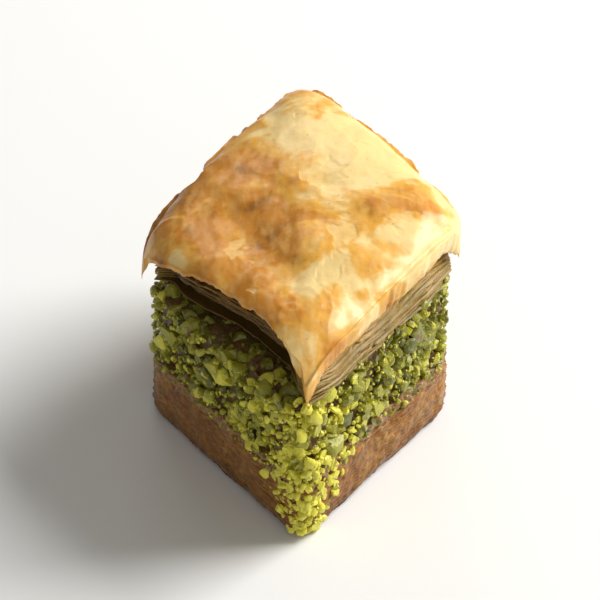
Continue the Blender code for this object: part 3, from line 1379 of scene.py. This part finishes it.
@dataclass
class NutBed:
    """Chopped pistachios packed between the base and the leaves, over a heart of ground nuts."""

    shape: Diamond
    paste_top: float = 6.9
    kinds: tuple[NutKind, ...] = (
        NutKind("pistachio_halves", 95, 1.5, 2.5, 14, 22, 11, 2.0, 71, 0.42),
        NutKind("pistachio_chunks", 330, 0.85, 1.6, 7, 11, 9, 1.9, 76, 0.48),
        NutKind("pistachio_bits", 640, 0.35, 0.95, 6, 9, 7, 1.3, 72, 0.5),
        NutKind("pistachio_crumbs", 1500, 0.10, 0.34, 4, 6, 2, 0.5, 73, 0.55),
        # top_pistachios have a low tone: painted shade on the nuts in the hollow under the leaves.
        NutKind("top_pistachios", 170, 0.4, 1.4, 8, 12, 7, 0.0, 74, 0.30, Lie.TOP),
        NutKind("corner_pistachios", 260, 0.20, 0.85, 6, 9, 6, 0.0, 75, 0.92, Lie.CORNER),
    )

    def places(self, kind: NutKind, rng: np.random.Generator) -> tuple[Array, Array]:
        """Centres spread evenly over the four cut faces, and radii.

        A centre's walk around the rim and its height come from a low-discrepancy sequence, so
        that the nuts cover the face without lying in rows.

        Args:
            kind: the kind of nut.
            rng: random numbers.

        Returns:
            Centres (count, 3) and radii (count,).
        """
        steps = np.arange(kind.count)
        walk = (steps * 0.7548776662 + rng.random()) % 1.0
        rise = (steps * 0.5698402910 + rng.random()) % 1.0
        radius = kind.smallest + (kind.largest - kind.smallest) * rng.random(kind.count) ** 1.6
        depth = radius * rng.uniform(0.25, 1.0, kind.count)
        depth = depth + rng.uniform(-0.1, kind.deepest * 0.6, kind.count)
        if kind.lie is Lie.TOP:
            depth = rng.uniform(1.6, 4.6, kind.count)
            walk = walk * 0.25
        if kind.lie is Lie.CORNER:
            depth = radius * rng.uniform(0.1, 0.8, kind.count)
            walk = 0.255 + 0.05 * np.clip(rng.normal(size=kind.count), -1.6, 1.6) * (0.25 + rise)
        u_all, v_all = self.shape.rim(4000)
        pick = (walk * 4000).astype(np.int64) % 4000
        u, v = u_all[pick], v_all[pick]
        depth = depth + self.shape.rounding(u, v) * np.where(radius < 0.4, 1.7, 1.1)
        share = 1.0 - depth / (self.shape.side / 2)
        x, y = self.shape.plan(u * share, v * share)
        low = self.shape.base_top + (0.9 * radius - 0.2)
        high = self.shape.nuts(u, v) + 0.25 - radius * 0.55 + 0.9 * smooth(0.85, 1.0, v)
        high = high + 0.55 * smooth(-0.85, -1.0, u)
        z = low + (high - low) * rise
        if kind.lie is Lie.TOP:
            z = self.shape.nuts(u, v) + radius * rng.uniform(-0.8, 0.0, kind.count) - 0.4
        if kind.lie is Lie.CORNER:
            z = 0.6 + (self.paste_top + 1.2) * rise
        return np.stack((x, y, z), axis=1), radius

    def chunks(self, kind: NutKind) -> Surface:
        """All nuts of a kind: balls stretched, flattened by random knife cuts and turned.

        Each cut moves what lies beyond its plane back onto it. The piece's own cut faces then
        slice what stands too far out.

        Args:
            kind: the kind of nut.

        Returns:
            All its nuts in one surface, with the values tone and skin.
        """
        rng = np.random.default_rng(kind.seed)
        rays, quads_, caps = ball(kind.rows, kind.columns)
        centres, radius = self.places(kind, rng)
        count = kind.count
        stretch = np.stack(
            (np.ones(count), rng.uniform(0.65, 0.95, count), rng.uniform(0.5, 0.85, count)), axis=1
        )
        points = rays[None] * stretch[:, None]
        for _ in range(kind.knife_cuts):
            facing = rng.normal(size=(count, 3))
            facing /= np.linalg.norm(facing, axis=1, keepdims=True)
            reach = rng.uniform(0.30, 0.68, count)
            beyond = np.einsum("cpk,ck->cp", points, facing) - reach[:, None]
            points = points - np.maximum(beyond, 0.0)[..., None] * facing[:, None]
        skin_side = rng.normal(size=(count, 3))
        skin_side /= np.linalg.norm(skin_side, axis=1, keepdims=True)
        skin = np.einsum("pk,ck->cp", rays, skin_side) * 0.5
        skin = skin + rng.uniform(-0.22, 0.40, count)[:, None]
        turn = np.linalg.qr(rng.normal(size=(count, 3, 3)))[0]
        turn[:, :, 0] *= np.sign(np.linalg.det(turn))[:, None]
        points = np.einsum("cpk,clk->cpl", points, turn) * radius[:, None, None]
        bump = GradientNoise(kind.seed + 5).at(points / 0.55 + centres[:, None] * 3.0)
        points = points * (1.0 + 0.10 * bump[..., None]) + centres[:, None]
        points = self.slice_faces(points, rng.uniform(-0.35, 0.38, count))
        low = 0.05 if kind.lie is Lie.CORNER else self.shape.base_top - 0.1
        points[..., 2] = np.maximum(points[..., 2], low)
        shift = np.arange(count)[:, None, None] * len(rays)
        faces = [(group[None] + shift).reshape(-1, group.shape[1]) for group in (quads_, caps)]
        corner = 0.42 * np.exp(-(((centres[:, 1] + self.shape.half_y) / 6.0) ** 2))
        tone = np.repeat(np.clip(rng.normal(kind.tone, 0.27, count) + corner, 0.0, 1.0), len(rays))
        return Surface(points.reshape(-1, 3), faces, {"tone": tone, "skin": skin.ravel()})

    def slice_faces(self, points: Array, proud: Array) -> Array:
        """Moves what stands beyond the cut faces back to them.

        Args:
            points: the nuts' points, shape (count, points, 3).
            proud: how far each nut may stand out of the face.

        Returns:
            The sliced points.
        """
        u, v = self.shape.square(points[..., 0], points[..., 1])
        limit = (1.0 - self.shape.corner_pull * 0.15) + proud[:, None] / (self.shape.side / 2)
        shift_u = np.clip(u, -limit, limit) - u
        shift_v = np.clip(v, -limit, limit) - v
        keep = 1.0 - self.shape.corner_pull
        points = points.copy()
        points[..., 0] += (shift_v - shift_u) / 2 * self.shape.half_x / keep
        points[..., 1] -= (shift_u + shift_v) / 2 * self.shape.half_y / keep
        return points

    def slab(
        self, low: float, high: float | None, drawn: float, grain: float, around: int,
    ) -> Surface:
        """A grainy slab of ground nuts that follows the outline.

        Args:
            low: its underside.
            high: its top, a number or None for the nut bed's mound.
            drawn: how far it is drawn in from the cut faces.
            grain: depth of the lumps on its side.
            around: points around it.

        Returns:
            The closed slab.
        """
        rim_u, rim_v = self.shape.rim(around)
        inside = np.linspace(0.08, 0.98, 12)
        reach = np.concatenate((inside, np.ones(22), inside[::-1]))
        up = np.concatenate((np.zeros(12), np.linspace(0.0, 1.0, 22), np.ones(12)))
        u, v = rim_u[:, None] * reach, rim_v[:, None] * reach
        x, y = self.shape.plan(u, v)
        top = self.shape.nuts(u, v) - 0.5 if high is None else high
        noise = GradientNoise(61)
        top = top + 0.35 * noise.at(space(x, y, 0.0, 2.4))
        z = low + (top - low) * up
        near = cell_distance(space(x, y, z, 1.3), 62)
        lump = grain * (0.55 - near) + 0.5 * grain * noise.at(space(x, y, z, 0.6))
        rounded = self.shape.rounding(rim_u, rim_v)[:, None]
        share = 1.0 - (drawn - lump + rounded) / (self.shape.side / 2) * smooth(0.85, 1.0, reach)
        x, y = self.shape.plan(u * share, v * share)
        return disc_surface(x, y, z, {})

    def dress(self) -> None:
        """Adds the heart, the paste line and all kinds of nut."""
        node, slot = "pistachio_filling", "chopped_pistachio"
        heart = self.slab(self.shape.base_top - 0.2, None, 1.5, 0.8, 300)
        add_piece("nut_heart", heart, GroundNuts().make(dark=True), node, shape=self.shape)
        paste = self.slab(self.shape.base_top - 0.15, self.paste_top, 0.45, 0.62, 640)
        add_piece("nut_paste", paste, GroundNuts().make(), node, shape=self.shape)
        finish = PistachioKernel().make()
        for kind in self.kinds:
            nuts = self.chunks(kind)
            add_piece(kind.name, nuts, finish, node, sharp=38.0, shape=self.shape)


# ------------------------------------------------------------------ studio


@dataclass
class Studio:
    """A pale board, soft lamps and a long lens."""

    lens: float = 320.0
    elevation: float = 38.0
    view_width: float = 0.058
    world: float = 0.22

    def floor(self) -> None:
        """A flat square board under the piece."""
        mesh = bpy.data.meshes.new("board")
        half = 0.3
        corners = [(-half, -half, 0.0), (half, -half, 0.0), (half, half, 0.0), (-half, half, 0.0)]
        mesh.from_pydata(corners, [], [(0, 1, 2, 3)])
        mesh.materials.append(StudioFloor().make())
        board = bpy.data.objects.new("board", mesh)
        bpy.context.scene.collection.objects.link(board)

    def sky(self) -> None:
        """Even soft light from all around, seen as white behind the board."""
        world = bpy.data.worlds.new("studio")
        world.use_nodes = True
        tree = world.node_tree
        tree.nodes.clear()
        path = add_node(tree, "LightPath")
        white, warm = (1.0, 1.0, 1.0, 1.0), (1.0, 0.97, 0.92, 1.0)
        seen = add_node(tree, "Background", inputs={"Color": white, "Strength": 1.0})
        lit = add_node(tree, "Background", inputs={"Color": warm, "Strength": self.world})
        mixed = add_node(
            tree, "MixShader",
            inputs={0: path.outputs["Is Camera Ray"], 1: lit.outputs[0], 2: seen.outputs[0]},
        )
        add_node(tree, "OutputWorld", inputs={"Surface": mixed.outputs[0]})
        bpy.context.scene.world = world

    def lamp(self, name: str, direction: tuple[float, float, float], size: tuple[float, float],
             power: float, away: float = 0.7) -> None:
        """A soft box that faces the middle of the piece.

        Args:
            name: what the lamp is.
            direction: from the piece to the lamp.
            size: width and height of the soft box, in metres.
            power: watts.
            away: distance in metres.
        """
        light = bpy.data.lights.new(name, "AREA")
        light.shape = "RECTANGLE"
        light.size, light.size_y = size
        light.energy = power
        lamp = bpy.data.objects.new(name, light)
        toward = Vector(direction).normalized()
        lamp.location = toward * away + Vector((0.0, 0.0, 0.012))
        lamp.rotation_euler = toward.to_track_quat("Z", "Y").to_euler()
        bpy.context.scene.collection.objects.link(lamp)

    def camera(self) -> None:
        """Looks at the piece along +Y from above, at one sharp corner."""
        low, high = (Vector(corner) for corner in CAD_BOX)
        middle = (low + high) / 2
        data = bpy.data.cameras.new("camera")
        data.lens = self.lens
        data.sensor_width = 36.0
        distance = self.view_width * self.lens / 36.0
        angle = math.radians(self.elevation)
        back = Vector((0.0, -math.cos(angle), math.sin(angle)))
        camera = bpy.data.objects.new("camera", data)
        camera.location = middle + back * distance
        camera.rotation_euler = back.to_track_quat("Z", "Y").to_euler()
        bpy.context.scene.collection.objects.link(camera)
        bpy.context.scene.camera = camera

    def build(self) -> None:
        """Sets the stage, the lamps and the camera."""
        self.floor()
        self.sky()
        self.lamp("key", (0.74, 0.34, 0.62), (0.42, 0.42), 7.3)
        self.lamp("back", (-0.10, 0.80, 0.58), (0.30, 0.10), 0.35)
        self.lamp("fill", (0.10, -0.95, 0.40), (0.5, 0.5), 0.5)
        self.camera()
        bpy.context.scene.view_settings.view_transform = "Standard"


def main() -> None:
    """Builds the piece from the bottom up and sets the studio."""
    logging.basicConfig(level=logging.INFO, format="%(message)s")
    shape = Diamond.from_cad()
    for part in (BaseSlab(shape), NutBed(shape), LeafStack(shape), CrustSheet(shape)):
        part.dress()
    Studio().build()


if __name__ == "__main__":
    main()
